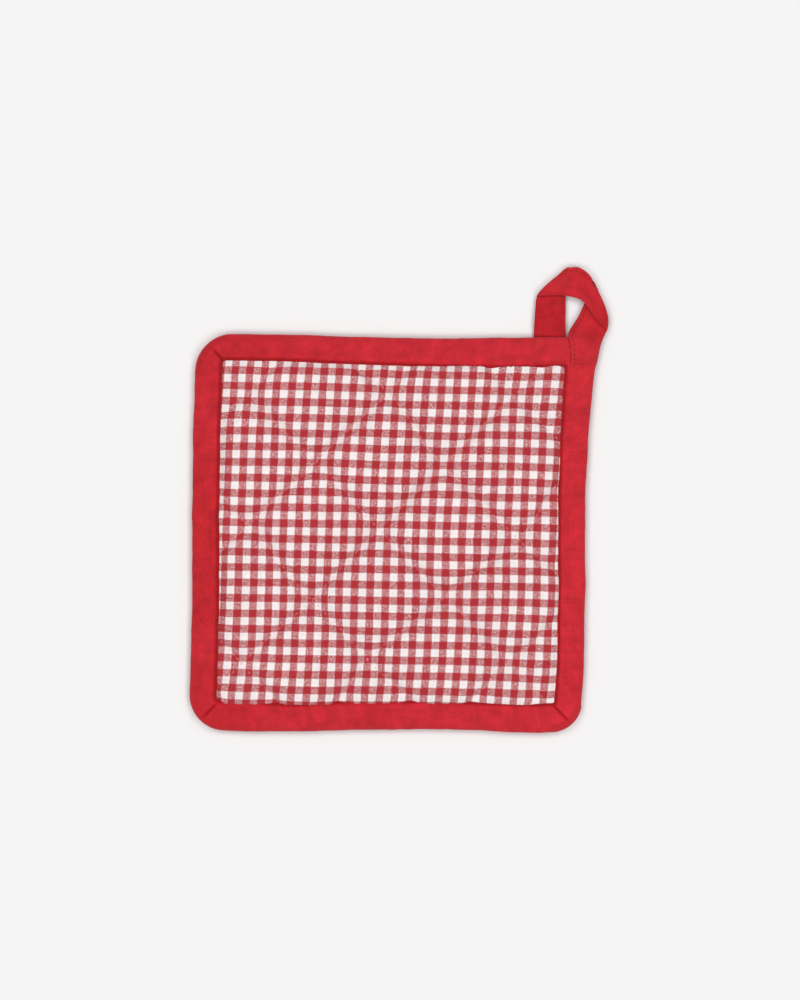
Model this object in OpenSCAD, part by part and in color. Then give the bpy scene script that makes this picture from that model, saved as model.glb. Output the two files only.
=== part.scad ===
// Square quilted pot holder with a bound edge and a hanging loop folded from the same tape.
// The origin is the middle of the quilt's back face: +X right, +Y to the looped edge, +Z out of the front.

/* [Pad] */
// Width of the bound pad
pad_w = 200; // [180:1:220]
// Height of the bound pad, without the loop
pad_h = 201; // [180:1:220]
// Thickness in the middle of the quilt
pad_t = 7; // [6.6:0.1:9]
// Thickness at the bound edge
edge_t = 4.8; // [4.4:0.1:5.2]
// Outer radius of the bound corners
corner_r = 11; // [8:1:14]

/* [Cloth] */
// Thickness of the woven front and back panels
cloth_t = 0.5; // [0.4:0.1:0.6]
// Thickness of one leaf of the binding tape, whose raw edge is turned in
tape_t = 0.8; // [0.6:0.1:1]
// Width of the binding that shows on each face
tape_w = 14; // [12:1:16]

/* [Quilting] */
// Distance between crossings of the stitched diamonds, along X and along Y
quilt_pitch = 34; // [28:1:40]
// Place of the middle crossing along X
quilt_x = -5.5; // [-10:0.5:0]
// Place of the middle crossing along Y
quilt_y = 2.5; // [0:0.5:10]

/* [Loop] */
// Width of the loop's tape, which is folded double and stitched shut
strap_w = 15.5; // [14:0.5:16]
// Thickness of the loop's tape
strap_t = 1.4; // [1.2:0.1:1.6]
// Height of the loop above the pad's top edge
loop_rise = 35; // [33:1:38]
// Middle of the upright left leg, in from the pad's right edge
leg_inset = 18; // [17:0.5:20]
// Lean of the right leg, out from upright
leg_lean = 27; // [24:1:30]
// Gap between the two legs at the pad's top edge
eye_gap = 2; // [1.5:0.5:4]

/* [Stitching] */
// Width of a row of thread
thread_w = 0.6; // [0.4:0.1:0.8]
// Depth that a row of thread sinks into the cloth
thread_t = 0.3; // [0.2:0.1:0.3]
// Distance of the binding's rows from its inner edge
row_inset = 1; // [0.8:0.1:2]
// Distance of the loop's rows from the tape's stitched edge
strap_row_inset = 2; // [1.5:0.1:3]

/* [Hidden] */
$fn = 48;

red = [0.78, 0.18, 0.21];
dark_red = [0.58, 0.09, 0.12];
pink_check = [0.86, 0.62, 0.64];
cream = [0.93, 0.90, 0.84];
white = [0.96, 0.95, 0.94];

mid_z = pad_t / 2;
big = 400;

// The quilt's layers are pressed thin inside the binding, then slope up to the full thickness.
window_w = pad_w - 2 * tape_w;
window_h = pad_h - 2 * tape_w;
slope_run = 6;
nose_r = edge_t / 2;
channel_half = nose_r - tape_t;
front_leaf_z = mid_z + nose_r;
back_leaf_z = mid_z - nose_r;
crease_w = 0.5;
crease_start = 3;
crease_len = 9;

// The loop's tape leaves the pad over the front leaf on the right and behind the back leaf on the left.
top_y = pad_h / 2;
peak_y = top_y + loop_rise;
strip_y = peak_y - strap_w;
leg_x = pad_w / 2 - leg_inset;
leg_left = leg_x - strap_w / 2;
leg_right = leg_x + strap_w / 2;
root_gap = 0.3;
root_end_y = top_y + 1.5;
root_low_y = top_y - tape_w - row_inset;
lip_y = top_y + root_gap;
tack_y = root_low_y + 1;
root_left = leg_right + 3.6;
hinge_y = root_end_y + root_gap + strap_t / 2;
strap_z = mid_z - strap_t / 2;
strip_z = strap_z + strap_t;

// The right leg's inner and outer edges at height y.
function inner_x(y) = leg_right + eye_gap + (y - top_y) * tan(leg_lean);
function outer_x(y) = inner_x(y) + strap_w / cos(leg_lean);

// The right fold runs from the loop's shoulder up to its peak.
shoulder_x = leg_right + 22;
shoulder_low = [shoulder_x, top_y + 5];
shoulder_top = [shoulder_x, top_y + 11];
peak_right = [leg_right + 13, peak_y - 3];
peak_left = [leg_right + 7, peak_y];
strip_tail = [shoulder_x - 5, top_y + 6.5];
eye_corner = [inner_x(strip_y) - 0.5, strip_y - 1];

// A rounded rectangle of thickness t, centred on the mid-plane.
module rounded_slab(w, h, r, t) {
    translate([0, 0, mid_z]) {
        cube([w - 2 * r, h, t], center = true);
        cube([w, h - 2 * r, t], center = true);
        for (x = [-1, 1], y = [-1, 1])
            translate([x * (w / 2 - r), y * (h / 2 - r), 0])
                cylinder(h = t, r = r, center = true);
    }
}

function slope_profile(w, rise) =
    [[-w / 2, 0], [w / 2, 0], [w / 2 - slope_run, rise], [-w / 2 + slope_run, rise]];

// A raised field inside the binding's window, with four sloping sides.
module raised_field(rise) {
    intersection() {
        rotate([90, 0, 0])
            linear_extrude(height = window_h, center = true)
                polygon(slope_profile(window_w, rise));
        rotate([90, 0, 90])
            linear_extrude(height = window_w, center = true)
                polygon(slope_profile(window_h, rise));
    }
}

// The quilt's layers up to half-thickness border in the binding and middle between.
// A solid that cuts another is grown past the layers' outline.
module quilt_solid(border, middle, grow = 0) {
    inset = nose_r - grow;
    rounded_slab(pad_w - 2 * inset, pad_h - 2 * inset, corner_r - inset, 2 * border);
    for (side = [0, 1])
        translate([0, 0, mid_z])
            mirror([0, 0, side])
                translate([0, 0, border])
                    raised_field(middle - border);
}

// The crossing rows of stitches over the flat of the quilt, from height z up.
module quilt_rows(z) {
    flat_w = window_w - 2 * slope_run;
    flat_h = window_h - 2 * slope_run;
    spacing = quilt_pitch * sqrt(2);
    intersection() {
        translate([-flat_w / 2, -flat_h / 2, z])
            cube([flat_w, flat_h, thread_t]);
        translate([quilt_x, quilt_y, z + thread_t / 2])
            for (turn = [45, 135], i = [-3:3])
                rotate([0, 0, turn])
                    translate([0, i * spacing, 0])
                        cube([big, thread_w, thread_t], center = true);
    }
}

// The row of stitches round the binding's inner edge, from height z up.
module binding_row(z) {
    inner_w = window_w + 2 * row_inset;
    inner_h = window_h + 2 * row_inset;
    translate([0, 0, z + thread_t / 2])
        difference() {
            cube([inner_w + 2 * thread_w, inner_h + 2 * thread_w, thread_t], center = true);
            cube([inner_w, inner_h, 2 * thread_t], center = true);
        }
}

// One woven panel: the outermost layer of the quilt on the side that keep_front picks.
module panel(keep_front, row_z) {
    difference() {
        quilt_solid(channel_half, mid_z);
        quilt_solid(channel_half - cloth_t, mid_z - cloth_t, 1);
        translate([-big / 2, -big / 2, keep_front ? mid_z - big : mid_z])
            cube(big);
        quilt_rows(row_z);
    }
}

module front_panel() {
    color(pink_check)
        panel(true, pad_t - thread_t);
}

module back_panel() {
    color(pink_check)
        panel(false, 0);
}

module wadding() {
    color(cream)
        quilt_solid(channel_half - cloth_t, mid_z - cloth_t);
}

module quilting_thread_front() {
    color(white)
        quilt_rows(pad_t - thread_t);
}

module quilting_thread_back() {
    color(white)
        quilt_rows(0);
}

// The mitre fold of a tape that turns a corner, pressed into both leaves.
module mitre_crease(x, y) {
    for (z = [back_leaf_z, front_leaf_z])
        translate([x * window_w / 2, y * window_h / 2, z])
            rotate([0, 0, atan2(y, x)])
                translate([crease_start, -crease_w / 2, -thread_t])
                    cube([crease_len, crease_w, 2 * thread_t]);
}

// The folded tape's cross-section: two leaves and the round fold between them, with the pad's edge at x = 0.
module tape_profile() {
    difference() {
        union() {
            translate([-nose_r, 0])
                circle(r = nose_r);
            translate([-tape_w, -nose_r])
                square([tape_w - nose_r, 2 * nose_r]);
        }
        translate([-nose_r, 0])
            circle(r = channel_half);
        translate([-tape_w - 1, -channel_half])
            square([tape_w - nose_r + 1, 2 * channel_half]);
    }
}

// A straight run of the tape along a side that is reach out from the middle.
module tape_run(reach, length) {
    translate([reach, 0, 0])
        rotate([90, 0, 0])
            linear_extrude(height = length, center = true)
                tape_profile();
}

// A quarter turn of the tape round the pad's corner.
module tape_corner() {
    rotate_extrude(angle = 90)
        intersection() {
            translate([corner_r, 0])
                tape_profile();
            translate([0, -nose_r])
                square([corner_r, 2 * nose_r]);
        }
}

// One tape folded round the raw edges all the way round the pad.
module binding() {
    side_x = pad_w / 2 - corner_r;
    side_y = pad_h / 2 - corner_r;
    color(red)
        difference() {
            translate([0, 0, mid_z]) {
                for (turn = [0, 180])
                    rotate([0, 0, turn]) {
                        tape_run(pad_w / 2, 2 * side_y);
                        rotate([0, 0, 90])
                            tape_run(pad_h / 2, 2 * side_x);
                        translate([side_x, side_y, 0])
                            tape_corner();
                        translate([-side_x, side_y, 0])
                            rotate([0, 0, 90])
                                tape_corner();
                    }
            }
            binding_row(front_leaf_z - thread_t);
            binding_row(back_leaf_z);
            mitre_crease(-1, 1);
            mitre_crease(-1, -1);
            mitre_crease(1, -1);
        }
}

module binding_thread_front() {
    color(dark_red)
        binding_row(front_leaf_z - thread_t);
}

module binding_thread_back() {
    color(dark_red)
        binding_row(back_leaf_z);
}

// The rows that tack the tape's two ends to the pad.
module front_tack() {
    translate([root_left + 1, tack_y, pad_t - thread_t]) {
        cube([10, thread_w, thread_t]);
        cube([thread_w, tape_w - 2, thread_t]);
    }
}

module back_tack() {
    translate([leg_left + 2, tack_y, 0])
        cube([strap_w - 4, thread_w, thread_t]);
}

module tack_thread() {
    color(dark_red) {
        front_tack();
        back_tack();
    }
}

// The end of the loop's tape that crosses the front leaf, with a short lip past the pad's top edge.
module front_tape_end() {
    outline = [
        [root_left, root_low_y],
        [pad_w / 2, root_low_y],
        [shoulder_x - 4, top_y - 7],
        [outer_x(root_end_y), root_end_y],
        [root_left, root_end_y]
    ];
    color(red)
        difference() {
            union() {
                translate([0, 0, front_leaf_z])
                    linear_extrude(height = pad_t - front_leaf_z)
                        polygon(outline);
                translate([root_left, lip_y, strap_z])
                    cube([outer_x(lip_y) - root_left, root_end_y - lip_y, pad_t - strap_z]);
            }
            front_tack();
        }
}

// The end of the loop's tape that lies behind the back leaf, with the same lip.
module back_tape_end() {
    color(red)
        difference() {
            union() {
                translate([leg_left, root_low_y, 0])
                    cube([strap_w, root_end_y - root_low_y, back_leaf_z]);
                translate([leg_left, lip_y, 0])
                    cube([strap_w, root_end_y - lip_y, strip_z]);
            }
            back_tack();
        }
}

// The rows that shut the folded tape, on both faces of the legs and on the front of the top strip.
module loop_rows() {
    row_low = hinge_y + 1;
    right_len = 12;
    for (z = [strap_z, strip_z - thread_t]) {
        translate([leg_right - strap_row_inset - thread_w, row_low, z])
            cube([thread_w, strip_y - row_low - 1, thread_t]);
        translate([inner_x(row_low) + strap_row_inset, row_low, z])
            rotate([0, 0, -leg_lean])
                cube([thread_w, right_len, thread_t]);
    }
    translate([leg_right, peak_y - strap_row_inset - thread_w, strip_z + strap_t - thread_t])
        cube([peak_left[0] - leg_right, thread_w, thread_t]);
}

module loop_thread() {
    color(dark_red)
        loop_rows();
}

// A flat length of the loop's tape, from height z up.
module strap(z, outline) {
    translate([0, 0, z])
        linear_extrude(height = strap_t)
            polygon(outline);
}

// The rounded end of a leg, on the line that the loop folds about.
module leg_end(x_from, x_to) {
    translate([x_from, hinge_y, mid_z])
        rotate([0, 90, 0])
            cylinder(h = x_to - x_from, r = strap_t / 2);
}

// The left leg folds forward on the diagonal into the top strip, which folds behind itself at
// the right and comes down as the leaning right leg.
module hanging_loop() {
    left_leg = [[leg_left, hinge_y], [leg_right, hinge_y], [leg_right, peak_y], [leg_left, strip_y]];
    top_strip = [
        [leg_left, strip_y], [leg_right, peak_y], peak_left, peak_right,
        shoulder_top, strip_tail, eye_corner
    ];
    right_leg = [
        [inner_x(hinge_y), hinge_y], [outer_x(hinge_y), hinge_y], shoulder_low, shoulder_top,
        peak_right, [inner_x(strip_y), strip_y]
    ];
    color(red)
        difference() {
            union() {
                strap(strap_z, left_leg);
                strap(strap_z, right_leg);
                strap(strip_z, top_strip);
                leg_end(leg_left, leg_right);
                leg_end(inner_x(hinge_y), outer_x(hinge_y));
            }
            loop_rows();
        }
}

front_panel();
wadding();
back_panel();
quilting_thread_front();
quilting_thread_back();
binding();
binding_thread_front();
binding_thread_back();
front_tape_end();
back_tape_end();
tack_thread();
hanging_loop();
loop_thread();
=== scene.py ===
"""The looks of a square quilted pot holder: gingham panels puffed between sewn diamonds, a bound edge
with folded mitres and a hanging loop that is one tape, folded twice.

Lengths are in millimetres until a mesh is made. Flat places (u, v) are those of the pad laid out
square, and lie() carries them to where the soft pad really lies.
"""

import math

import bpy
import numpy as np
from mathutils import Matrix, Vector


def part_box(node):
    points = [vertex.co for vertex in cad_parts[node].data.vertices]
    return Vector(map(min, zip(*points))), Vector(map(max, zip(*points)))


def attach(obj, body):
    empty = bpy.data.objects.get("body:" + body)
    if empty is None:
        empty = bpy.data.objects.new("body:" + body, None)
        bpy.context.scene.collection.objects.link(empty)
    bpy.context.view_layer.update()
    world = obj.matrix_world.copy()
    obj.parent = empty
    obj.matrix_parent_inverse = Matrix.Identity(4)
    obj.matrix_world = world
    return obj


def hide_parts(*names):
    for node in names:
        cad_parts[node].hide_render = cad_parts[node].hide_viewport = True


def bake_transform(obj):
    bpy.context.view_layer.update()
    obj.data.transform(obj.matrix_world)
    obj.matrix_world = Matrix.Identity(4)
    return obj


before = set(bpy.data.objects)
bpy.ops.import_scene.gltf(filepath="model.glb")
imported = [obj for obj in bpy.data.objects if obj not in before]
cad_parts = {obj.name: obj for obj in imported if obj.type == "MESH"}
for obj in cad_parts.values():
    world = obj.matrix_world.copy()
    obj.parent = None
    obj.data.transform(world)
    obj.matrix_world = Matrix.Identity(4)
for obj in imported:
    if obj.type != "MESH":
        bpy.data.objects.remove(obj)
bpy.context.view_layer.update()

MM = 0.001


def node_box(name):
    """The lowest and highest corners of a CAD node, in millimetres."""
    low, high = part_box(name)
    return np.array(low) / MM, np.array(high) / MM


# ---------------------------------------------------------------- sizes, from the frame
BINDING_LOW, BINDING_HIGH = node_box("binding")
PANEL_HIGH = node_box("front_panel")[1]
HALF_W, HALF_H = BINDING_HIGH[0], BINDING_HIGH[1]
MID_Z = (BINDING_LOW[2] + BINDING_HIGH[2]) / 2
LEAF_TOP = BINDING_HIGH[2]
NOSE_R = LEAF_TOP - MID_Z
# The outer corners' radii, counterclockwise from the looped corner.
CORNER_RADII = (11.0, 16.5, 19.5, 13.0)
TAPE_W = 14.0
TAPE_T = 0.8
WINDOW_X = HALF_W - TAPE_W
WINDOW_Y = HALF_H - TAPE_W
PANEL_X, PANEL_Y = PANEL_HIGH[0], PANEL_HIGH[1]
CLOTH_T = 0.5
STRAP_W = 15.5
STRAP_T = 1.4
HINGE_Y = 103.0

# ---------------------------------------------------------------- the quilting
QUILT_PITCH = 34.0
QUILT_AT = np.array([-5.5, 2.5])
GRID = 2.0
# The heights of the front on the sewn lines, in the middle of a diamond and at the border, and that
# of the back where the pad lies on it.
SEAM_TOP = 5.3
PUFF_TOP = 7.7
BORDER_TOP = MID_Z + 1.55
LOWEST = 0.05
# Where the sewn lines stray from an even lattice: a place, and how far the lines lie off it there.
STRAYS = [
    ((-5.5, 70.5), (5.0, 1.5)),
    ((62.5, 2.5), (3.5, -5.0)),
    ((-5.5, -65.5), (-4.5, 1.5)),
    ((-73.5, 2.5), (2.5, 3.0)),
    ((-39.5, 36.5), (2.5, 0.5)),
    ((28.5, 36.5), (-1.5, -1.5)),
    ((-39.5, -31.5), (1.0, -2.5)),
]
STRAY_REACH = 19.0

# ---------------------------------------------------------------- the yarns
YARNS_IN_BAND = 8
YARN = 0.478  # from one yarn of the gingham to the next
TAPE_YARN = 0.32  # from one yarn of the tape to the next

# ---------------------------------------------------------------- the stitches
# From one stitch to the next, a stitch's length, its radius, and how far it is sunk in the cloth.
QUILTING_STITCH = (3.0, 2.2, 0.14, 0.08)
BINDING_STITCH = (2.4, 1.7, 0.25, 0.07)
LOOP_STITCH = (2.5, 1.8, 0.2, 0.06)
TACK_STITCH = (2.1, 1.5, 0.2, 0.16)


# ---------------------------------------------------------------- numbers
def smooth(t):
    t = np.clip(t, 0, 1)
    return t * t * (3 - 2 * t)


def noise(x, y, cell, seed):
    """Smooth noise from -1 to 1 with bumps about cell across, the same on every run."""
    size = 64
    table = np.random.default_rng(seed).uniform(-1, 1, (size, size))
    gx, gy = np.asarray(x, float) / cell, np.asarray(y, float) / cell
    ix, iy = np.floor(gx).astype(int), np.floor(gy).astype(int)
    fx, fy = smooth(gx - ix), smooth(gy - iy)
    corner = [[table[(ix + i) % size, (iy + j) % size] for j in (0, 1)] for i in (0, 1)]
    low = corner[0][0] * (1 - fx) + corner[1][0] * fx
    high = corner[0][1] * (1 - fx) + corner[1][1] * fx
    return low * (1 - fy) + high * fy


def through(points, at):
    """A smooth curve through a few (place, value) points, at any places."""
    places, values = np.array(points, float).T
    slopes = np.gradient(values, places)
    at = np.clip(at, places[0], places[-1])
    i = np.clip(np.searchsorted(places, at) - 1, 0, len(places) - 2)
    h = places[i + 1] - places[i]
    t = (at - places[i]) / h
    return (
        values[i] * (1 + 2 * t) * (1 - t) ** 2
        + slopes[i] * h * t * (1 - t) ** 2
        + values[i + 1] * t * t * (3 - 2 * t)
        + slopes[i + 1] * h * t * t * (t - 1)
    )


# ---------------------------------------------------------------- how the soft pad lies
LEAN = 1.8  # the pad leans sideways by this much at LEAN_AT from its middle
LEAN_AT = 84
FLARE = 4.6  # the right edge is pulled out this far towards the loop
TOP_EDGE = [(-100, 0.6), (-75, 1.2), (-40, 0.3), (0, -0.7), (30, -1.2), (60, -0.7), (100, 0)]
LOW_EDGE = [(-100, 0.6), (-63, -0.1), (-20, 0.4), (30, 0.9), (50, 0.4), (78, -0.6), (100, 0.4)]


def lie(points):
    """Carries flat places to where they lie: x and y change, and z stays."""
    p = np.array(points, float)
    u, v = p[..., 0].copy(), p[..., 1].copy()
    up = np.clip(v / HALF_H, 0, 1)
    right = np.clip((u - 0.5 * HALF_W) / (0.5 * HALF_W), 0, 1)
    down = np.clip(-v / HALF_H, 0, 1)
    p[..., 0] = u + LEAN * (v / LEAN_AT) ** 3 + FLARE * up**2.1 * right**2.2
    p[..., 1] = v + through(TOP_EDGE, u) * up**3 + through(LOW_EDGE, u) * down**3
    return p


def to_border(u, v):
    """How far inside the binding's inner edge a flat place is."""
    return np.minimum(WINDOW_X - np.abs(u), WINDOW_Y - np.abs(v))


def stray(u, v):
    """How far the sewn lines, and what is puffed between them, lie off the even lattice."""
    hold = smooth(to_border(u, v) / 16)
    du, dv = 0.8 * noise(u, v, 23, 5), 0.8 * noise(u, v, 23, 6)
    for (x, y), (off_x, off_y) in STRAYS:
        near = np.exp(-((u - x) ** 2 + (v - y) ** 2) / (2 * STRAY_REACH**2))
        du, dv = du + off_x * near, dv + off_y * near
    return du * hold, dv * hold


def to_seams(u, v):
    """The distances to the nearest sewn line of each of the two directions."""
    period = 2 * QUILT_PITCH
    a, b = u - QUILT_AT[0] + v - QUILT_AT[1], u - QUILT_AT[0] - v + QUILT_AT[1]
    return [np.abs((w + period / 2) % period - period / 2) / math.sqrt(2) for w in (a, b)]


def puff(u, v):
    """How full the pad is: 0 on a sewn line and at the border, 1 in the middle of a diamond."""
    near, far = to_seams(u, v)
    half = QUILT_PITCH / math.sqrt(2)
    bulge = (np.sin(near / half * math.pi / 2) * np.sin(far / half * math.pi / 2)) ** 0.55
    return bulge * smooth((to_border(u, v) + 1) / 13)


def seam_height(u, v):
    return BORDER_TOP + (SEAM_TOP - BORDER_TOP) * smooth(to_border(u, v) / 6)


def front_height(u, v):
    return seam_height(u, v) + (PUFF_TOP - SEAM_TOP) * puff(u, v)


def back_height(u, v):
    """The underside lies on its puffs, which the pad's weight flattens."""
    seam = 2 * MID_Z - seam_height(u, v)
    return seam - (seam - LOWEST) * puff(u, v) ** 0.8


# ---------------------------------------------------------------- meshes
def grid_faces(rows, columns, close_rows=False, close_columns=False):
    """Quads over a grid of points numbered row by row, closed on itself where asked."""
    i = np.arange(rows if close_rows else rows - 1)[:, None]
    j = np.arange(columns if close_columns else columns - 1)[None, :]
    i2, j2 = (i + 1) % rows, (j + 1) % columns
    quads = [i * columns + j, i * columns + j2, i2 * columns + j2, i2 * columns + j]
    return np.stack([np.broadcast_to(q, (i.shape[0], j.shape[1])) for q in quads], -1).reshape(-1, 4)


def new_mesh(name, points, faces, cloth=None, tone=None):
    """An object of these points in millimetres. cloth gives each face corner's place on the flat
    cloth, in millimetres, or each point's, and tone gives how bright the cloth is at each point,
    painted light and shade included."""
    mesh = bpy.data.meshes.new(name)
    faces = faces if isinstance(faces, list) else faces.tolist()
    mesh.from_pydata((np.asarray(points).reshape(-1, 3) * MM).tolist(), [], faces)
    if cloth is not None:
        corners = np.zeros(len(mesh.loops), np.int32)
        mesh.loops.foreach_get("vertex_index", corners)
        flat = cloth if len(cloth) == len(corners) else np.asarray(cloth)[corners]
        layer = mesh.uv_layers.new(name="Cloth")
        layer.data.foreach_set("uv", np.asarray(flat, np.float32).ravel())
    if tone is not None:
        shades = mesh.attributes.new("tone", "FLOAT", "POINT")
        shades.data.foreach_set("value", np.asarray(tone, np.float32).ravel())
    mesh.shade_smooth()
    obj = bpy.data.objects.new(name, mesh)
    bpy.context.scene.collection.objects.link(obj)
    return obj


def apply_modifiers(obj):
    graph = bpy.context.evaluated_depsgraph_get()
    mesh = bpy.data.meshes.new_from_object(obj.evaluated_get(graph))
    obj.modifiers.clear()
    obj.data = mesh
    mesh.name = obj.name


# ---------------------------------------------------------------- the quilt's cloth
def grid_line(half, start):
    """Places along one side: every GRID from the middle crossing, so that the sewn lines run
    through the points, and the cloth's two edges."""
    first = math.ceil((-half + GRID / 2 - start) / GRID)
    last = math.floor((half - GRID / 2 - start) / GRID)
    return np.concatenate([[-half], np.arange(first, last + 1) * GRID + start, [half]])


GRID_U = grid_line(PANEL_X, QUILT_AT[0])
GRID_V = grid_line(PANEL_Y, QUILT_AT[1])
FLAT_U, FLAT_V = np.meshgrid(GRID_U, GRID_V)

SIM_SCALE = 0.1  # the simulation's units are 10 mm, where the cloth solver is at ease
SIM_FRAMES = 20
SIM_PRESSURE = 5.0
SIM_EXTRA = 0.035  # the cloth is this much bigger than its place, so that it puckers
SIM_CAP = 2.5  # no point moves farther than this


def simulate_quilt(front, back):
    """Puffs the two panels as one pillow that is held along its border and its sewn lines."""
    rows, columns = FLAT_U.shape
    count = rows * columns
    faces = grid_faces(rows, columns)
    rim = np.zeros((rows, columns), bool)
    rim[[0, -1]] = rim[:, [0, -1]] = True
    number = np.arange(count) + count
    number[rim.ravel()] = np.arange(count)[rim.ravel()]
    pillow = np.concatenate([faces, number[faces][:, ::-1]])
    points = np.concatenate([front.reshape(-1, 3), back.reshape(-1, 3)])
    mesh = bpy.data.meshes.new("pillow")
    mesh.from_pydata((points * SIM_SCALE).tolist(), [], pillow.tolist())
    obj = bpy.data.objects.new("pillow", mesh)
    bpy.context.scene.collection.objects.link(obj)
    near, far = to_seams(FLAT_U, FLAT_V)
    held = ((to_border(FLAT_U, FLAT_V) < 0.5) | (np.minimum(near, far) < 0.2)).ravel()
    held = np.flatnonzero(np.concatenate([held, held]))
    obj.vertex_groups.new(name="held").add(held.tolist(), 1.0, "REPLACE")
    cloth = obj.modifiers.new("cloth", "CLOTH")
    cloth.settings.vertex_group_mass = "held"
    cloth.settings.use_pressure = True
    cloth.settings.uniform_pressure_force = SIM_PRESSURE
    cloth.settings.shrink_min = -SIM_EXTRA
    cloth.settings.bending_stiffness = 0.3
    cloth.settings.effector_weights.gravity = 0
    cloth.point_cache.frame_start = 1
    cloth.point_cache.frame_end = SIM_FRAMES
    for number in range(1, SIM_FRAMES + 1):
        bpy.context.scene.frame_set(number)
    graph = bpy.context.evaluated_depsgraph_get()
    result = obj.evaluated_get(graph).to_mesh()
    moved = np.zeros(len(result.vertices) * 3, np.float32)
    result.vertices.foreach_get("co", moved)
    moved = moved.reshape(-1, 3) / SIM_SCALE - points
    far_moved = np.linalg.norm(moved, axis=1, keepdims=True)
    moved *= np.minimum(1, SIM_CAP / np.maximum(far_moved, 1e-9))
    bpy.data.objects.remove(obj)
    bpy.context.scene.frame_set(1)
    points += moved
    return points[:count].reshape(front.shape), points[count:].reshape(back.shape)


def round_corners(u, v):
    """The same flat places with the panels' four corners rounded, as they are inside the binding."""
    looped, left, low_left, low_right = CORNER_RADII
    r = np.where(v > 0, np.where(u > 0, looped, left), np.where(u > 0, low_right, low_left))
    r = r - (HALF_W - PANEL_X)
    a = np.maximum(np.abs(u) - (PANEL_X - r), 0)
    b = np.maximum(np.abs(v) - (PANEL_Y - r), 0)
    both = (a > 0) & (b > 0)
    drawn_in = np.where(both, 1 - np.maximum(a, b) / np.maximum(np.hypot(a, b), 1e-9), 0)
    return u - np.sign(u) * a * drawn_in, v - np.sign(v) * b * drawn_in


def quilt_faces():
    """The outer faces of the two panels as grids of places where they lie."""
    du, dv = stray(FLAT_U, FLAT_V)
    u, v = round_corners(FLAT_U, FLAT_V)
    front = np.stack([u + du, v + dv, front_height(FLAT_U, FLAT_V)], -1)
    back = np.stack([u + du, v + dv, back_height(FLAT_U, FLAT_V)], -1)
    front, back = simulate_quilt(front, back)
    back[..., 2] = np.maximum(back[..., 2], LOWEST)
    return lie(front), lie(back)


def cloth_places():
    """Where each point of the panels is on the flat gingham. Its bands lean and waver a little, and
    the quilting has drawn the middle of the cloth sideways."""
    du, dv = stray(FLAT_U, FLAT_V)
    u, v = FLAT_U + du, FLAT_V + dv
    drawn = 1.5 * np.exp(-(u**2 + (v + 12) ** 2) / (2 * 38**2))
    along_u = 1.018 * u - 0.036 * v + 1.5 + drawn + 0.45 * noise(u, v, 31, 11)
    along_v = v + 0.0185 * u - 2.7 + 0.4 * noise(u, v, 31, 12)
    return np.stack([along_u, along_v], -1).reshape(-1, 2)


def panel(name, surface, outward):
    """One woven panel: a closed sheet of cloth whose outer face is that surface."""
    rows, columns = FLAT_U.shape
    faces = grid_faces(rows, columns)
    if outward < 0:
        faces = faces[:, ::-1]
    obj = new_mesh(name, surface.reshape(-1, 3), faces, cloth_places())
    smoother = obj.modifiers.new("smoother", "SUBSURF")
    smoother.levels = smoother.render_levels = 1
    thick = obj.modifiers.new("thick", "SOLIDIFY")
    thick.thickness = CLOTH_T * MM
    thick.offset = -1
    apply_modifiers(obj)
    lay_out(obj, 4 * len(faces))
    return obj


FACE_SHARE = 0.97  # the outer face takes this much of the baked square's side
STRIP_START = 0.975
STRIP_SHARE = 0.025


def lay_out(obj, outer_faces):
    """A flat layout of a panel for baking: its outer face fills nearly the whole square, and the
    inner face and the rim, which are never seen, share a strip at the side."""
    mesh = obj.data
    cloth = np.zeros(2 * len(mesh.loops), np.float32)
    mesh.uv_layers["Cloth"].data.foreach_get("uv", cloth)
    flat = (cloth.reshape(-1, 2) - cloth.min()) / (cloth.max() - cloth.min()) * FACE_SHARE
    corners = mesh.polygons[outer_faces].loop_start
    flat[corners:, 0] = STRIP_START + STRIP_SHARE * flat[corners:, 0]
    layer = mesh.uv_layers.new(name="OFBake")
    layer.data.foreach_set("uv", flat.ravel())


WADDING_GAP = CLOTH_T + 0.15  # from a panel's outer face to the padding
WADDING_LEAST = 0.4


def wadding(front, back):
    """The padding fills what is between the two panels."""
    rows, columns = FLAT_U.shape
    count = rows * columns
    top, low = front.copy(), back.copy()
    top[..., 2] -= WADDING_GAP
    low[..., 2] += WADDING_GAP
    top[..., 2] = np.maximum(top[..., 2], low[..., 2] + WADDING_LEAST)
    faces = grid_faces(rows, columns)
    ring = np.concatenate(
        [
            np.arange(columns),
            np.arange(1, rows) * columns + columns - 1,
            (rows - 1) * columns + np.arange(columns - 2, -1, -1),
            np.arange(rows - 2, 0, -1) * columns,
        ]
    )
    after = np.roll(ring, -1)
    side = np.stack([ring, ring + count, after + count, after], -1)
    points = np.concatenate([top.reshape(-1, 3), low.reshape(-1, 3)])
    return new_mesh("wadding_fill", points, np.concatenate([faces, faces[:, ::-1] + count, side]))


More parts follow.
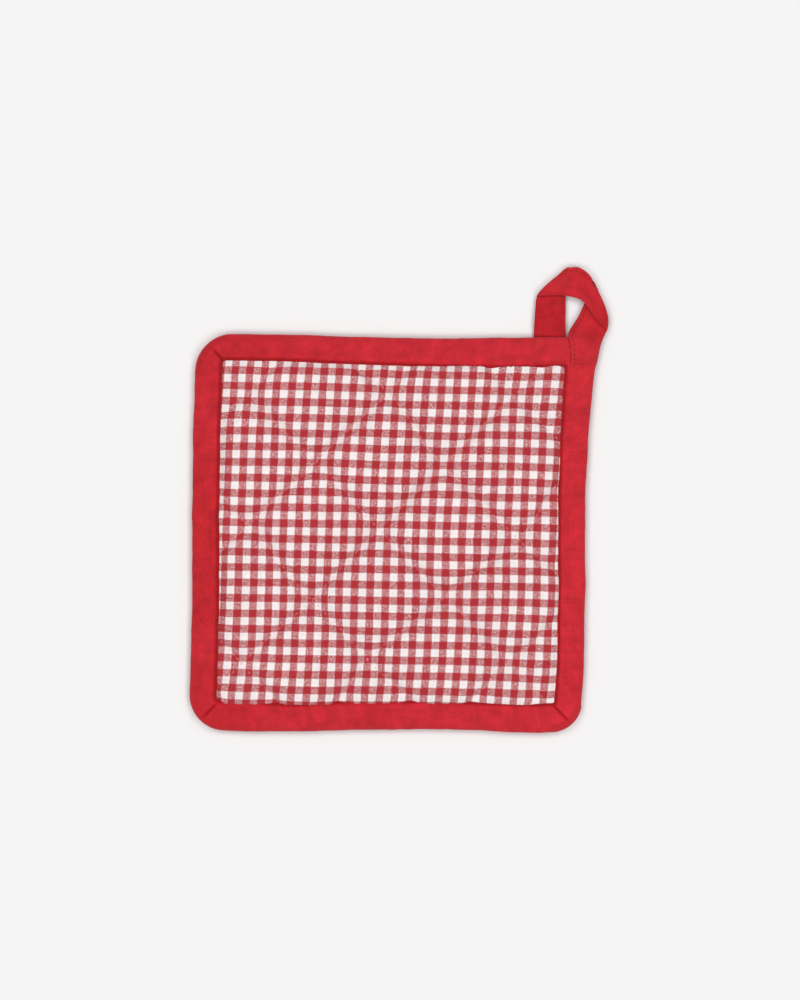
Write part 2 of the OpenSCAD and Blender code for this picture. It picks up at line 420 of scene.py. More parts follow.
# ---------------------------------------------------------------- stitches
def stitches(name, runs, pitch, length, radius, sunk):
    """Separate stitches along each run, a (points, normals) pair that lies on the cloth."""
    rings, sides = 6, 6
    t = np.linspace(0, 1, rings)
    thickness = np.sqrt(np.clip(1 - (2 * t - 1) ** 4, 0.02, 1))
    turn = np.arange(sides) / sides * 2 * math.pi
    points, faces = [], []
    for places, normals in runs:
        steps = np.linalg.norm(np.diff(places, axis=0), axis=1)
        along = np.concatenate([[0], np.cumsum(steps)])
        for start in np.arange(pitch / 2, along[-1] - length, pitch):
            s = start + t * length
            at = np.stack([np.interp(s, along, places[:, k]) for k in range(3)], -1)
            up = np.stack([np.interp(s, along, normals[:, k]) for k in range(3)], -1)
            up /= np.linalg.norm(up, axis=1, keepdims=True)
            ahead = np.gradient(at, axis=0)
            across = np.cross(ahead, up)
            across /= np.linalg.norm(across, axis=1, keepdims=True)
            lift = radius * np.sin(t * math.pi)[:, None] - sunk
            middle = at + up * lift
            ring = (
                middle[:, None]
                + radius * thickness[:, None, None] * np.cos(turn)[None, :, None] * across[:, None]
                + radius * thickness[:, None, None] * np.sin(turn)[None, :, None] * up[:, None]
            )
            first = len(points) * rings * sides
            faces += (grid_faces(rings, sides, close_columns=True) + first).tolist()
            faces.append([first + k for k in range(sides)])
            faces.append([first + (rings - 1) * sides + k for k in reversed(range(sides))])
            points.append(ring.reshape(-1, 3))
    return new_mesh(name, np.concatenate(points), faces)


def grid_normals(surface):
    """The unit normals of a grid of points, up for a grid whose rows go along +Y."""
    normal = np.cross(np.gradient(surface, axis=1), np.gradient(surface, axis=0))
    return normal / np.linalg.norm(normal, axis=-1, keepdims=True)


def on_grid(surface, u, v):
    """Places on a panel's surface at flat places (u, v)."""
    i = np.interp(v, GRID_V, np.arange(len(GRID_V)))
    j = np.interp(u, GRID_U, np.arange(len(GRID_U)))
    i0 = np.clip(np.floor(i).astype(int), 0, len(GRID_V) - 2)
    j0 = np.clip(np.floor(j).astype(int), 0, len(GRID_U) - 2)
    fi, fj = (i - i0)[..., None], (j - j0)[..., None]
    low = surface[i0, j0] * (1 - fj) + surface[i0, j0 + 1] * fj
    high = surface[i0 + 1, j0] * (1 - fj) + surface[i0 + 1, j0 + 1] * fj
    return low * (1 - fi) + high * fi


def soften(surface):
    """A grid of points as one level of subdivision leaves them."""
    s = surface.copy()
    s[1:-1] = 0.75 * s[1:-1] + 0.125 * (s[:-2] + s[2:])
    s[:, 1:-1] = 0.75 * s[:, 1:-1] + 0.125 * (s[:, :-2] + s[:, 2:])
    return s


def quilting_runs(surface, outward):
    """The sewn diagonals across the window, as runs on one panel's surface."""
    step, fewest = 0.5, 13
    surface = soften(surface)
    normals = grid_normals(surface) * outward
    runs = []
    for slope in (1, -1):
        for k in range(-4, 5):
            offset = QUILT_AT[1] - slope * QUILT_AT[0] + k * 2 * QUILT_PITCH
            u = np.arange(-WINDOW_X, WINDOW_X, step)
            v = slope * u + offset
            inside = np.abs(v) < WINDOW_Y
            if inside.sum() >= fewest:
                u, v = u[inside], v[inside]
                runs.append((on_grid(surface, u, v), on_grid(normals, u, v)))
    return runs


# ---------------------------------------------------------------- the binding
INNER_TOP = [(-86, 0.8), (-60, 0.6), (-39, 0), (-10, -0.5), (20, -1.2), (55, -2.2), (86, -1.6)]
INNER_LOW = [(-86, 2.0), (-72, 2.1), (-50, 0.6), (-20, 1.4), (50, 1.0), (78, 1.0), (86, 0.9)]
INNER_RADII = (1.0, 1.0, 1.0, 1.0)
WAVE_START, WAVE_RUN = 40, 46  # how far from the middle the waves of those two edges set in


def rounded_outline(half_w, half_h, radii, straight, bend):
    """Points counterclockwise round a rounded rectangle from its right side. The first of the four
    radii is that of the upper right corner, and straight and bend are the numbers of steps along a
    side and round a corner."""
    places = []
    for quarter in range(4):
        w, h = (half_w, half_h) if quarter % 2 == 0 else (half_h, half_w)
        before, r = radii[quarter - 1], radii[quarter]
        y = np.linspace(-(h - before), h - r, straight, endpoint=False)
        side = np.stack([np.full(straight, w), y], -1)
        angle = np.linspace(0, math.pi / 2, bend, endpoint=False)
        arc = np.stack([w - r + r * np.cos(angle), h - r + r * np.sin(angle)], -1)
        c, s = round(math.cos(quarter * math.pi / 2)), round(math.sin(quarter * math.pi / 2))
        places.append(np.concatenate([side, arc]) @ np.array([[c, s], [-s, c]]))
    return np.concatenate(places)


STRAIGHT_STEPS = 130
BEND_STEPS = 44
INSIDE_POINTS = 9  # the section's points along the inside of the folded tape
ROW_POINT = 3  # the section's point under the sewn row, 1 mm from the inner edge
# How much painted light brightens the tape at the right, and how much painted shade darkens it in a
# mitre's crease, in the dents over the loop's end, at the inner edge and along the sewn row.
RIGHT_PAINTED_LIGHT = 0.02
CREASE_PAINTED_SHADE = 0.25
DENT_PAINTED_SHADE = 0.12
EDGE_PAINTED_SHADE = 0.2
ROW_PAINTED_SHADE = 0.12
# The corners whose tape is folded into a mitre: the corner, the fold's height, length and reach.
MITRES = [((-1, 1), 0.75, 10.0, 3.0), ((-1, -1), 0.55, 11.0, 5.0), ((1, -1), 0.6, 13.0, 4.5)]


def mitres(u, v):
    """The tape's folds along the corners' diagonals: their height, and 0 to 1 in their creases, where
    shade is painted.
    """
    height, crease = np.zeros_like(u), np.zeros_like(u)
    for (side_x, side_y), rise, length, reach in MITRES:
        x, y = side_x * u - WINDOW_X, side_y * v - WINDOW_Y
        along, across = (x + y) / math.sqrt(2), (x - y) / math.sqrt(2) + 0.25
        on = smooth((along + 0.5) / 2) * smooth((length - along) / 5)
        step = smooth(across / 0.5) * np.exp(-np.maximum(across, 0) / reach)
        groove = on * np.exp(-((across + 0.35) ** 2) / 0.35)
        height += rise * (on * step - 0.5 * groove)
        crease += groove
    return height, crease


# The lines across the top leaf where the loop's end is sewn on behind it: height and depth.
ROOT_LINES = [(88.2, 1.0), (96.2, 0.5)]
ROOT_LEFT, ROOT_RIGHT = 72.0, 91.0


def root_lines(u, v):
    """0 to 1 in the dents that the sewn-on loop's end leaves in the front leaf."""
    on = smooth(u - ROOT_LEFT) * smooth(ROOT_RIGHT - u)
    return on * sum(depth * np.exp(-(((v - y) / 0.4) ** 2)) for y, depth in ROOT_LINES)


def binding_profile():
    """The folded tape's section as (across, height) rows, from the front leaf's inner edge over the
    fold to the back leaf's inner edge, then back along the inside. across is 0 at the inner edge and
    TAPE_W at the pad's outer edge, and height is taken from the pad's middle plane."""
    outer_w = np.array([0.05, 0.3, 0.7, 1.0, 1.3, 1.8, 2.6, 3.8, 5.2, 6.8, 8.4, 9.8, 10.8])
    crown_w, crown = [0, 0.3, 0.7, 1.0, 1.5, 3, 7, 10.8], [-0.5, -0.1, -0.05, -0.14, 0, 0.2, 0.35, 0.12]
    top = np.interp(outer_w, crown_w, crown)
    angle = np.linspace(math.pi / 2, -math.pi / 2, 11)[1:-1]
    nose_w = TAPE_W - NOSE_R - 0.3 + (NOSE_R + 0.3) * np.cos(angle)
    nose_z = (NOSE_R + 0.05) * np.sin(angle)
    front = [(w, NOSE_R + z) for w, z in zip(outer_w, top)]
    nose = list(zip(nose_w, nose_z))
    back = [(w, -NOSE_R - 0.6 * z) for w, z in zip(outer_w[::-1], top[::-1])]
    channel = NOSE_R - TAPE_T
    inside_w = np.array([0.3, 3.0, 7.0, 10.5])
    inside = [(w, -channel) for w in inside_w] + [(TAPE_W - TAPE_T, 0.0)]
    inside += [(w, channel) for w in inside_w[::-1]]
    return np.array(front + nose + back + inside)


def binding_surface():
    """The binding as a grid: a row for each place round the pad, a column for each of the section's
    points, with the flat cloth's places."""
    outer = rounded_outline(HALF_W, HALF_H, CORNER_RADII, STRAIGHT_STEPS, BEND_STEPS)
    inner = rounded_outline(WINDOW_X, WINDOW_Y, INNER_RADII, STRAIGHT_STEPS, BEND_STEPS)
    inner[:, 1] += through(INNER_TOP, inner[:, 0]) * smooth((inner[:, 1] - WAVE_START) / WAVE_RUN)
    inner[:, 1] += through(INNER_LOW, inner[:, 0]) * smooth((-inner[:, 1] - WAVE_START) / WAVE_RUN)
    section = binding_profile()
    share = section[:, 0] / TAPE_W
    plan = inner[:, None] * (1 - share)[None, :, None] + outer[:, None] * share[None, :, None]
    u, v = plan[..., 0], plan[..., 1]
    height = np.broadcast_to(section[:, 1], u.shape).copy()
    around = np.concatenate([[0], np.cumsum(np.linalg.norm(np.diff(inner, axis=0), axis=1))])
    around = np.broadcast_to(around[:, None], u.shape)
    w = np.broadcast_to(section[:, 0], u.shape)
    outside = np.arange(len(section)) < len(section) - INSIDE_POINTS
    side = np.sign(height)
    # The stitches draw the tape in, so that it ripples along the row and calms towards the fold.
    ripple = noise(around, w + 40 * side, 3.1, 21) * 0.14 * np.exp(-w / 3.5)
    ripple += noise(around, w / 3 + 40 * side, 7.0, 22) * 0.16 * np.exp(-(((w - 5) / 5) ** 2))
    ripple += noise(around, w / 2 + 40 * side, 26.0, 23) * 0.15
    fold_height, crease = mitres(u, v)
    dent = root_lines(u, v) * (side > 0)
    ripple += fold_height * smooth(w) - 0.25 * dent
    height += np.where(outside, side * ripple * smooth(np.abs(height) / NOSE_R), 0)
    # Painted light and shade: brighter at the right; darker in the mitres' creases, in the dents, at
    # the inner edge and along the sewn row; and uneven tone at random.
    tone = 1 + RIGHT_PAINTED_LIGHT * u / HALF_W + 0.02 * noise(around, w / 3, 18.0, 26)
    tone -= CREASE_PAINTED_SHADE * crease + DENT_PAINTED_SHADE * dent
    tone -= EDGE_PAINTED_SHADE * np.exp(-w / 0.6) + ROW_PAINTED_SHADE * np.exp(-(((w - 1) / 0.7) ** 2))
    wander = 0.25 * noise(around, 0 * w, 15.0, 24) + 0.1 * noise(around, 0 * w, 4.0, 25)
    facing = (outer - inner) / np.linalg.norm(outer - inner, axis=1, keepdims=True)
    u = u + facing[:, :1] * wander
    v = v + facing[:, 1:] * wander
    surface = np.stack([u, v, MID_Z + height], -1)
    return lie(surface), around, w, side, tone


def binding():
    surface, around, w, side, tone = binding_surface()
    rows, columns = around.shape
    faces = grid_faces(rows, columns, True, True)
    cloth = np.stack([around, w + 30 * (side < 0)], -1).reshape(-1, 2)[faces]
    length = around[-1, 0] + 1
    first = cloth[:, :1, 0]
    cloth[..., 0] = np.where(cloth[..., 0] < first - length / 2, cloth[..., 0] + length, cloth[..., 0])
    return new_mesh("binding_tape", surface, faces, cloth.reshape(-1, 2), tone), surface


def binding_runs(surface, outward):
    """The row of stitches round the binding, on its front leaf (1) or its back leaf (-1)."""
    point = ROW_POINT if outward > 0 else surface.shape[1] - INSIDE_POINTS - 1 - ROW_POINT
    row = np.concatenate([surface[:, point], surface[:1, point]])
    return [(row, np.tile([0, 0, float(outward)], (len(row), 1)))]


# ---------------------------------------------------------------- the hanging loop
BEHIND = 0.95  # the height of the end that is sewn on behind the pad
LOW_Z = MID_Z - 0.5  # the height of the loop's legs
HIGH_Z = LOW_Z + STRAP_T + 0.25  # the height of the strip that lies over them
STRAP_ACROSS = 22  # the points across the tape
DROOP = 1.2  # the loop's far end hangs this far down towards the table
SETTLINGS = 3  # how many times the rows are evened out along the tape
SEAM_COLUMN = 16  # the loop's points under the row that shuts it
ROOT_ROW_COLUMN = 6  # the binding's points under the row that sews the loop's end on
# How bright the tape is at places along the loop: its legs are in the shade of what lies over them.
LOOP_TONES = [(0, 0.92), (38, 0.92), (46, 0.98), (66, 0.98), (76, 0.95), (92, 0.96), (100, 1.03)]


def spline(stations, step=0.8):
    """A smooth path through stations, each of any number of values, with points about step apart."""
    p = np.array(stations, float)
    p = np.concatenate([[2 * p[0] - p[1]], p, [2 * p[-1] - p[-2]]])
    out = []
    for k in range(1, len(p) - 2):
        a, b, c, d = p[k - 1 : k + 3]
        count = max(2, math.ceil(np.abs(c - b).max() / step))
        t = (np.arange(count) / count)[:, None]
        second, third = 2 * a - 5 * b + 4 * c - d, 3 * b - a - 3 * c + d
        out.append(0.5 * (2 * b + (c - a) * t + second * t**2 + third * t**3))
    return np.concatenate([*out, p[-2:-1]])


def fold(left, right, bulge, slip, low, high, upward):
    """The half turn of the tape round a fold line from left to right that bulges out, as rows like
    those of loop_rows(). slip is how far the slanting tape moves along the line as it turns, for
    each unit that it moves inward."""
    r = (high - low) / 2
    angle = np.linspace(-math.pi / 2, math.pi / 2, 9)
    if not upward:
        angle = angle[::-1]
    inward = -np.array(bulge) / math.hypot(*bulge)
    line = np.subtract(right, left)
    line /= np.linalg.norm(line)
    rows = []
    for a in angle:
        shift = inward * r * (1 - math.cos(a)) + line * slip * r * math.sin(a)
        z = (low + high) / 2 + r * math.sin(a)
        rows.append([*(left + shift), z, *(right + shift), z, *bulge])
    return rows


def loop_rows():
    """The tape's two edges all along the loop, from its end behind the pad to its end in front. A
    row holds the first edge's place, then that of the second, which carries the stitching, and then
    how far the row bulges sideways a third of the way along."""
    left_leg = [
        [74.0, 85.5, BEHIND, 89.7, 85.5, BEHIND, 0, 0],
        [73.9, 93.0, BEHIND, 89.8, 93.0, BEHIND, 0, 0],
        [73.7, 98.5, BEHIND + 0.2, 89.9, 98.5, BEHIND + 0.2, 0, 0],
        [73.8, 103.0, 2.1, 90.0, 104.0, 2.1, 0, 0],
        [74.2, 110.0, LOW_Z, 90.1, 114.0, LOW_Z, 0, 0],
        [74.7, 116.0, LOW_Z, 90.2, 125.0, LOW_Z, 0, 0],
        [74.9, 119.4, LOW_Z, 90.3, 132.2, LOW_Z, 0, 0],
    ]
    first_fold = fold((75.5, 120.9), (91.2, 135.4), (-0.3, 0.3), 1.0, LOW_Z, HIGH_Z, True)
    strip = [
        [80.5, 121.2, HIGH_Z, 93.6, 135.8, HIGH_Z, 0, 0],
        [86.5, 121.3, HIGH_Z + 0.1, 95.2, 135.8, HIGH_Z, 0, 0],
        [92.0, 120.7, HIGH_Z + 0.2, 97.2, 135.4, HIGH_Z + 0.1, 0, 0],
        [97.0, 119.3, HIGH_Z + 0.4, 99.4, 134.2, HIGH_Z + 0.2, 0, 0],
        [100.0, 116.9, HIGH_Z + 0.5, 101.2, 132.8, HIGH_Z + 0.3, 0.3, 0],
        [103.0, 112.4, HIGH_Z + 0.5, 102.6, 131.1, HIGH_Z + 0.4, 1.0, 0],
        [106.0, 108.4, HIGH_Z + 0.4, 103.5, 129.7, HIGH_Z + 0.4, 1.8, 0.1],
    ]
    second_fold = fold((110.2, 103.6), (104.7, 127.0), (2.4, 0.2), 2.0, LOW_Z, HIGH_Z + 0.4, False)
    right_leg = [
        [109.9, 101.3, LOW_Z, 102.0, 121.0, LOW_Z, 1.6, 0.1],
        [109.6, 100.5, LOW_Z + 0.1, 99.2, 116.7, LOW_Z, 1.0, 0],
        [109.2, 99.6, LOW_Z + 0.3, 96.8, 111.4, LOW_Z + 0.1, 0.5, 0],
        [108.8, 98.6, LOW_Z + 0.5, 94.2, 107.2, LOW_Z + 0.5, 0.2, 0],
        [108.3, 97.4, LOW_Z + 0.7, 91.5, 103.2, 4.9, 0, 0],
        [107.8, 95.8, 3.5, 90.9, 100.2, 6.3, 0, 0],
        [107.2, 93.4, 3.4, 92.1, 96.2, 6.6, 0, 0],
        [106.5, 89.6, 3.3, 92.5, 91.2, 6.6, 0, 0],
        [105.7, 86.4, 3.1, 92.3, 86.8, 6.3, 0, 0],
        [104.8, 83.4, 2.9, 91.8, 83.6, 5.1, 0, 0],
    ]
    rows = np.concatenate(
        [
            spline(left_leg + first_fold[:1])[:-1],
            np.array(first_fold)[:-1],
            spline(first_fold[-1:] + strip + second_fold[:1])[:-1],
            np.array(second_fold)[:-1],
            spline(second_fold[-1:] + right_leg),
        ]
    )
    for _ in range(SETTLINGS):
        rows[1:-1] = rows[1:-1] / 2 + (rows[:-2] + rows[2:]) / 4
    return rows


def loop_surface():
    """The tape's middle surface as a grid of points, and how far along and across it they are."""
    rows = loop_rows()
    first, second, bulge = rows[:, None, :3], rows[:, None, 3:6], rows[:, None, 6:]
    c = ((1 - np.cos(np.linspace(0, math.pi, STRAP_ACROSS))) / 2)[None, :, None]
    middle = first * (1 - c) + second * c
    # c * (1 - c)^2 is greatest a third of the way along, where the factor makes it one.
    middle[..., :2] += 6.75 * c * (1 - c) ** 2 * bulge
    # In front, the first edge turns down round the pad's outer edge.
    drop = first[..., 2:] - second[..., 2:]
    rounded = second[..., 2:] + drop * (1 - c) ** 5
    over = smooth((-drop - 0.5) / 1.5)
    middle[..., 2:] = middle[..., 2:] * (1 - over) + rounded * over
    middle[..., 2] -= DROOP * smooth((middle[..., 1] - HINGE_Y) / 25)
    centre = rows[:, :3] / 2 + rows[:, 3:6] / 2
    along = np.concatenate([[0], np.cumsum(np.linalg.norm(np.diff(centre, axis=0), axis=1))])
    return middle, along, c[0, :, 0]


def loop():
    """The hanging loop, and its two faces as (places, normals) grids."""
    middle, along, c = loop_surface()
    normal = np.cross(np.gradient(middle, axis=1), np.gradient(middle, axis=0))
    normal /= np.linalg.norm(normal, axis=-1, keepdims=True)
    half = STRAP_T / 2 * (1 - np.abs(2 * c - 1) ** np.where(c < 0.5, 7, 18)) ** 0.5
    a, w = np.meshgrid(along, c * STRAP_W, indexing="ij")
    soft = 0.14 * noise(a, w, 9, 31) + 0.08 * noise(a, w, 3.5, 32)
    middle = middle + normal * soft[..., None] * (half / half.max())[None, :, None]
    # The second edge is two folded edges sewn together, with a groove between them.
    middle[:, -1] += 0.6 * (middle[:, -3] - middle[:, -1])
    top = middle + normal * half[None, :, None]
    low = middle - normal * half[None, :, None]
    rows = len(a)
    section = np.concatenate([top, low[:, -2:0:-1]], axis=1)
    around = section.shape[1]
    faces = grid_faces(rows, around, close_columns=True).tolist()
    faces.append(list(range(around))[::-1])
    faces.append([(rows - 1) * around + k for k in range(around)])
    across = np.concatenate([w, w[:, -2:0:-1]], axis=1)
    cloth = np.stack([np.broadcast_to(a[:, :1], across.shape), across], -1).reshape(-1, 2)
    tone = np.interp(along, *np.array(LOOP_TONES).T)
    tone = tone[:, None] + 0.03 * noise(a[:, :1] + 0 * across, across, 6.0, 33)
    obj = new_mesh("loop_tape", section, faces, cloth, tone)
    return obj, (top, normal), (low, -normal)


def seam_runs(faces):
    """The row that shuts the folded tape, on both its faces."""
    return [(places[:, SEAM_COLUMN], normals[:, SEAM_COLUMN]) for places, normals in faces]


def tack_runs(faces, tape_surface):
    """The short rows that sew the loop's ends down, in front and behind."""
    runs = []
    # For each end: its upper or lower face, the rows near it, and where the stitches cross the tape.
    for (places, normals), rows, y, first, last in (
        (max(faces, key=lambda face: face[0][-8, 8, 2]), slice(-40, None), 86.2, 5, 15),
        (min(faces, key=lambda face: face[0][8, 8, 2]), slice(0, 20), 87.5, 3, 19),
    ):
        i = np.argmin(np.abs(places[rows, 10, 1] - y))
        runs.append((places[rows][i, first:last], normals[rows][i, first:last]))
    line = tape_surface[:, ROOT_ROW_COLUMN]
    line = line[(line[:, 0] > ROOT_LEFT) & (line[:, 0] < ROOT_RIGHT) & (line[:, 1] > WINDOW_Y)]
    runs.append((line, np.tile([0, 0, 1.0], (len(line), 1))))
    return runs


# ---------------------------------------------------------------- materials
class Graph:
    """A material's nodes, made a few words at a time."""

    def __init__(self, name):
        self.material = bpy.data.materials.new(name)
        self.material.use_nodes = True
        self.tree = self.material.node_tree
        self.shader = self.tree.nodes["Principled BSDF"]

    def add(self, kind, inputs=(), **settings):
        node = self.tree.nodes.new(kind)
        for key, value in settings.items():
            setattr(node, key, value)
        for key, value in dict(inputs).items():
            self.put(value, node.inputs[key])
        return node

    def put(self, value, socket):
        if isinstance(value, bpy.types.NodeSocket):
            self.tree.links.new(value, socket)
        else:
            socket.default_value = value

    def math(self, operation, a, b=0.0, c=0.0):
        return self.add("ShaderNodeMath", {0: a, 1: b, 2: c}, operation=operation).outputs[0]

    def mix(self, share, a, b):
        node = self.add("ShaderNodeMix", {0: share, 6: a, 7: b}, data_type="RGBA")
        return node.outputs[2]

    def blend(self, share, a, b):
        """Between two numbers, as mix() is between two colours."""
        return self.add("ShaderNodeMix", {0: share, 2: a, 3: b}).outputs[0]

    def scale(self, color, share):
        node = self.add("ShaderNodeVectorMath", {0: color, "Scale": share}, operation="SCALE")
        return node.outputs[0]

    def noise(self, vector, scale, detail=2.0, rough=0.5):
        inputs = {"Vector": vector, "Scale": scale, "Detail": detail, "Roughness": rough}
        return self.add("ShaderNodeTexNoise", inputs).outputs["Fac"]

    def cloth(self):
        return self.add("ShaderNodeUVMap", uv_map="Cloth").outputs[0]

    def bump(self, height, distance, strength=1.0, normal=None):
        inputs = {"Height": height, "Distance": distance, "Strength": strength}
        if normal is not None:
            inputs["Normal"] = normal
        return self.add("ShaderNodeBump", inputs).outputs[0]

    def finish(self, color, normal=None, roughness=0.85, sheen=0.15, specular=0.2):
        self.put(color, self.shader.inputs["Base Color"])
        if normal is not None:
            self.put(normal, self.shader.inputs["Normal"])
        self.put(roughness, self.shader.inputs["Roughness"])
        self.shader.inputs["Sheen Weight"].default_value = sheen
        self.shader.inputs["Sheen Roughness"].default_value = 0.5
        self.shader.inputs["Specular IOR Level"].default_value = specular
        return self.material


def srgb(r, g, b):
    """A colour given by its 0 to 255 display values, as the linear colour that nodes take."""
    linear = [c / 255 / 12.92 if c <= 10 else ((c / 255 + 0.055) / 1.055) ** 2.4 for c in (r, g, b)]
    return (*linear, 1.0)


WHITE_YARN, CREAM_YARN = srgb(251, 243, 242), srgb(246, 233, 234)
RED_YARN, ROSE_YARN = srgb(182, 18, 28), srgb(176, 22, 40)
RED_TAPE, ROSE_TAPE = srgb(202, 39, 45), srgb(196, 39, 54)
# The deeper red of the tape's painted shade.
PAINTED_SHADE_RED = srgb(184, 16, 24)
# How much of the white a red yarn takes away where it is on top, and where it is underneath.
RED_ON_TOP, RED_BELOW = 0.93, 0.56
SPECKLE = 1.8  # how uneven the mixture is where the two colours cross


def weave(g, vector, yarn):
    """A plain weave: whether the yarn on top runs up (1) or across (0), its relief, the numbers of
    the yarns that run up and across, and a value of its own for the one on top."""
    shift = g.math("MULTIPLY_ADD", g.noise(vector, 0.6, 1.0), 0.3, -0.15)
    parts = g.add("ShaderNodeSeparateXYZ", {0: vector})
    u = g.math("DIVIDE", g.math("ADD", parts.outputs[0], shift), yarn)
    v = g.math("DIVIDE", g.math("SUBTRACT", parts.outputs[1], shift), yarn)
    iu, iv = g.math("FLOOR", u), g.math("FLOOR", v)
    over = g.math("FLOORED_MODULO", g.math("ADD", iu, iv), 2.0)
    ridge_u = g.math("SINE", g.math("MULTIPLY", g.math("FRACT", u), math.pi))
    ridge_v = g.math("SINE", g.math("MULTIPLY", g.math("FRACT", v), math.pi))
    # The yarn on top is round across itself, and dips to each end where it goes under.
    round_up = g.math("MULTIPLY", g.math("SQRT", ridge_u), g.math("MULTIPLY_ADD", ridge_v, 0.5, 0.5))
    round_over = g.math("MULTIPLY", g.math("SQRT", ridge_v), g.math("MULTIPLY_ADD", ridge_u, 0.5, 0.5))
    relief = g.blend(over, round_over, round_up)
    own_u = g.add("ShaderNodeTexWhiteNoise", {"W": iu}, noise_dimensions="1D").outputs[0]
    own_v = g.math("ADD", iv, 500.0)
    own_v = g.add("ShaderNodeTexWhiteNoise", {"W": own_v}, noise_dimensions="1D").outputs[0]
    return over, relief, iu, iv, g.blend(over, own_v, own_u)


def gingham_material():
    g = Graph("gingham")
    vector = g.cloth()
    over, relief, iu, iv, value = weave(g, vector, YARN)

    def dyed(number):
        """1 for the yarns that are dyed red, in bands."""
        in_check = g.math("FLOORED_MODULO", number, 2.0 * YARNS_IN_BAND)
        return g.math("LESS_THAN", in_check, YARNS_IN_BAND - 0.5)

    red_u, red_v = dyed(iu), dyed(iv)
    red_top, red_low = g.blend(over, red_v, red_u), g.blend(over, red_u, red_v)
    # A red yarn underneath shows through a white one, and between two of them.
    not_top = g.math("MULTIPLY_ADD", red_top, -RED_ON_TOP, 1.0)
    not_low = g.math("MULTIPLY_ADD", red_low, -RED_BELOW, 1.0)
    # The two colours of yarn aren't evenly thick, so where they cross, the mixture is speckled.
    mixed = g.math("ABSOLUTE", g.math("SUBTRACT", red_u, red_v))
    uneven = g.math("MULTIPLY_ADD", g.noise(vector, 1.3, 1.0), SPECKLE, -SPECKLE / 2)
    share = g.math("MULTIPLY_ADD", mixed, uneven, g.math("MULTIPLY", not_top, not_low))
    white_share = g.add("ShaderNodeClamp", {0: share}).outputs[0]
    tone = g.math("MULTIPLY_ADD", value, 0.2, 0.9)
    patch = g.math("MULTIPLY_ADD", g.noise(vector, 0.09, 3.0), 0.12, 0.94)
    slub = g.math("MULTIPLY_ADD", g.noise(vector, 1.6, 2.0, 0.7), 0.55, 0.725)
    white = g.mix(value, WHITE_YARN, CREAM_YARN)
    red = g.mix(g.noise(vector, 0.25, 2.0), RED_YARN, ROSE_YARN)
    color = g.mix(white_share, red, white)
    # Painted shade: the cloth is darker where the yarns dip under each other.
    dip_shade = g.math("MULTIPLY_ADD", relief, 0.22, 0.80)
    shade = g.math("MULTIPLY", g.math("MULTIPLY", tone, patch), g.math("MULTIPLY", dip_shade, slub))
    fine = g.bump(relief, 0.00008, 0.5)
    normal = g.bump(g.noise(vector, 0.35, 3.0), 0.0004, 0.35, fine)
    return g.finish(g.scale(color, shade), normal, 0.9, 0.1, 0.12)


def tape_material():
    g = Graph("red_tape")
    vector = g.cloth()
    _, relief, _, _, value = weave(g, vector, TAPE_YARN)
    tone = g.math("MULTIPLY_ADD", value, 0.14, 0.93)
    patch = g.math("MULTIPLY_ADD", g.noise(vector, 0.15, 4.0, 0.65), 1.0, 0.5)
    # Painted shade: the tape is darker where its yarns dip under each other.
    dip_shade = g.math("MULTIPLY_ADD", relief, 0.16, 0.86)
    shade = g.math("MULTIPLY", g.math("MULTIPLY", tone, patch), dip_shade)
    # The tone attribute holds painted light and shade, and uneven tone at random.
    local = g.add("ShaderNodeAttribute", attribute_name="tone").outputs["Fac"]
    hue = g.mix(g.noise(vector, 0.2, 2.0), RED_TAPE, ROSE_TAPE)
    # Where the tone attribute paints shade, in the loop's legs and in creases, the tape is a deeper red
    # too.
    depth = g.add("ShaderNodeClamp", {0: g.math("MULTIPLY_ADD", local, -7.0, 7.0)}).outputs[0]
    hue = g.mix(depth, hue, PAINTED_SHADE_RED)
    fine = g.bump(relief, 0.00006, 0.5)
    normal = g.bump(g.noise(vector, 0.3, 3.0), 0.0005, 0.35, fine)
    return g.finish(g.scale(hue, g.math("MULTIPLY", shade, local)), normal, 0.85, 0.12, 0.15)


def thread_material(name, color, dark):
    g = Graph(name)
    place = g.add("ShaderNodeTexCoord").outputs["Object"]
    ply = g.noise(place, 3500.0, 2.0)
    tint = g.mix(g.noise(place, 900.0, 2.0), color, dark)
    shade = g.math("MULTIPLY_ADD", ply, 0.3, 0.85)
    return g.finish(g.scale(tint, shade), g.bump(ply, 0.00008, 0.6), 0.6, 0.1, 0.3)


def wadding_material():
    g = Graph("wadding")
    place = g.add("ShaderNodeTexCoord").outputs["Object"]
    stretched = g.add("ShaderNodeVectorMath", {0: place, 1: (1.0, 3.0, 6.0)}, operation="MULTIPLY")
    fibres = g.noise(stretched.outputs[0], 1500.0, 6.0, 0.7)
    clumps = g.noise(place, 120.0, 3.0)
    color = g.mix(clumps, srgb(244, 240, 230), srgb(226, 220, 206))
    shade = g.math("MULTIPLY_ADD", fibres, 0.3, 0.8)
    return g.finish(g.scale(color, shade), g.bump(fibres, 0.0004, 0.8), 0.95, 0.3, 0.1)


def floor_material():
    g = Graph("floor")
    return g.finish(srgb(240, 240, 240), None, 0.95, 0.0, 0.0)


def paint(obj, material):
    obj.data.materials.clear()
    obj.data.materials.append(material)


# ---------------------------------------------------------------- the object
GINGHAM = gingham_material()
TAPE = tape_material()
RED_THREAD = thread_material("red_thread", srgb(148, 13, 24), srgb(112, 8, 18))
PALE_THREAD = thread_material("pale_thread", srgb(226, 178, 180), srgb(212, 150, 154))
WADDING = wadding_material()


def place_piece(obj, material, slot, *nodes):
    """Gives a piece its material and hides the nodes it stands for. It rides on the pad."""
    paint(obj, material)
    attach(obj, "pad")
    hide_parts(*nodes)


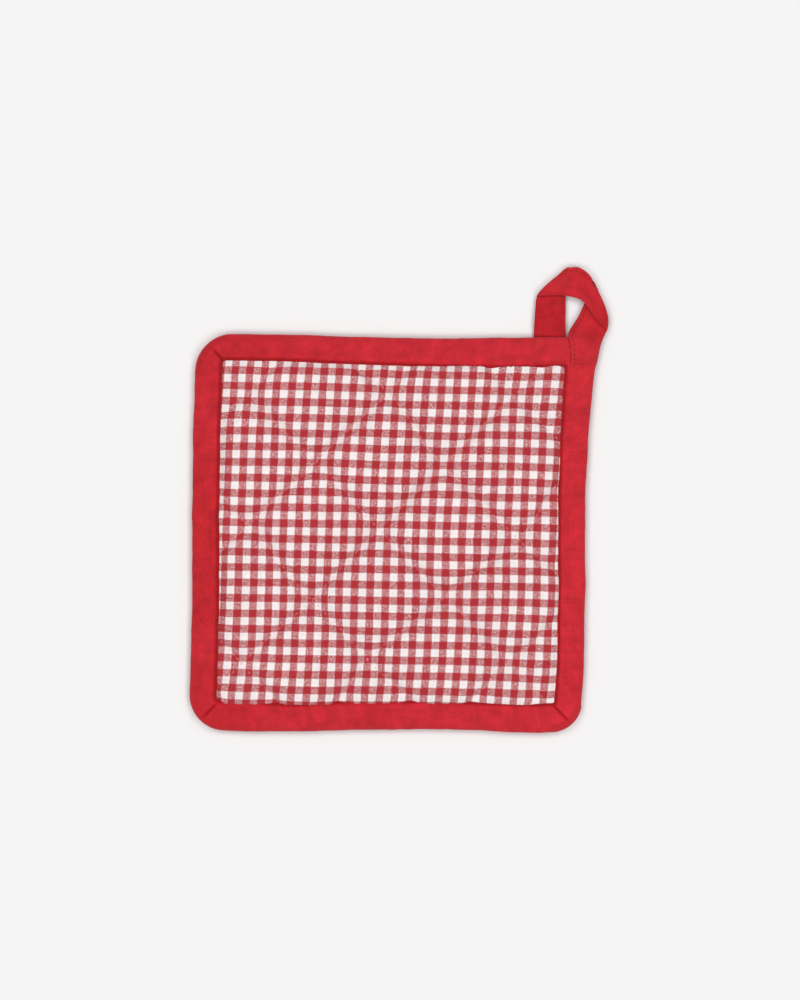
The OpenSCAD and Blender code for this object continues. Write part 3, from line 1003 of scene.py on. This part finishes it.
def place_on_loop(obj, material, slot, *nodes):
    """Gives a piece of the loop, which bends where the loop leaves the pad, its material, hides the
    nodes it stands for and bakes its place into its mesh.
    """
    paint(obj, material)
    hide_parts(*nodes)
    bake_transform(obj)


front, back = quilt_faces()
front_panel = panel("front_panel_cloth", front, 1)
place_piece(front_panel, GINGHAM, "gingham", "front_panel")
back_panel = panel("back_panel_cloth", back, -1)
place_piece(back_panel, GINGHAM, "gingham", "back_panel")
fill = wadding(front, back)
place_piece(fill, WADDING, "wadding", "wadding")

tape, tape_surface = binding()
place_piece(tape, TAPE, "red_tape", "binding")

for side, surface, outward in (("front", front, 1), ("back", back, -1)):
    runs = quilting_runs(surface, outward)
    row_stitches = stitches(f"quilting_stitches_{side}", runs, *QUILTING_STITCH)
    place_piece(row_stitches, PALE_THREAD, "quilting_thread", f"quilting_thread_{side}")

for side, outward in (("front", 1), ("back", -1)):
    runs = binding_runs(tape_surface, outward)
    row_stitches = stitches(f"binding_stitches_{side}", runs, *BINDING_STITCH)
    place_piece(row_stitches, RED_THREAD, "red_thread", f"binding_thread_{side}")

loop_tape, *loop_faces = loop()
place_on_loop(loop_tape, TAPE, "red_tape", "hanging_loop", "front_tape_end", "back_tape_end")
loop_stitches = stitches("loop_stitches", seam_runs(loop_faces), *LOOP_STITCH)
place_on_loop(loop_stitches, RED_THREAD, "red_thread", "loop_thread")
tack_stitches = stitches("tack_stitches", tack_runs(loop_faces, tape_surface), *TACK_STITCH)
place_piece(tack_stitches, RED_THREAD, "red_thread", "tack_thread")

# ---------------------------------------------------------------- light, floor and camera
world = bpy.data.worlds.new("studio")
bpy.context.scene.world = world
world.use_nodes = True
background = world.node_tree.nodes["Background"]
background.inputs["Color"].default_value = (1.0, 1.0, 1.0, 1.0)
WORLD_STRENGTH = 0.25
background.inputs["Strength"].default_value = WORLD_STRENGTH

# Four wide lights around the zenith, so that a thin shadow lies evenly all round the pad.
SUN_TILT = math.radians(34)
SUN_WIDTH = math.radians(30)
SUN_ENERGY = 0.76
for corner in range(4):
    sun = bpy.data.lights.new(f"softbox_{corner}", "SUN")
    sun.energy = SUN_ENERGY
    sun.angle = SUN_WIDTH
    sun_object = bpy.data.objects.new(f"softbox_{corner}", sun)
    sun_object.rotation_euler = (SUN_TILT, 0, math.radians(45 + 90 * corner))
    bpy.context.scene.collection.objects.link(sun_object)

FLOOR_HALF = 6.0
FLOOR_Z = -0.0001
floor_mesh = bpy.data.meshes.new("floor")
around_floor = ((-1, -1), (1, -1), (1, 1), (-1, 1))
floor_corners = [(x * FLOOR_HALF, y * FLOOR_HALF, FLOOR_Z) for x, y in around_floor]
floor_mesh.from_pydata(floor_corners, [], [(0, 1, 2, 3)])
floor = bpy.data.objects.new("floor", floor_mesh)
bpy.context.scene.collection.objects.link(floor)
paint(floor, floor_material())

LENS, SENSOR = 100, 36
CAMERA_AT = (0.0057, 0.0172, 1.4167)
camera_data = bpy.data.cameras.new("overhead")
camera_data.lens = LENS
camera_data.sensor_width = SENSOR
camera = bpy.data.objects.new("overhead", camera_data)
camera.location = CAMERA_AT
bpy.context.scene.collection.objects.link(camera)
bpy.context.scene.camera = camera
bpy.context.scene.view_settings.view_transform = "Standard"
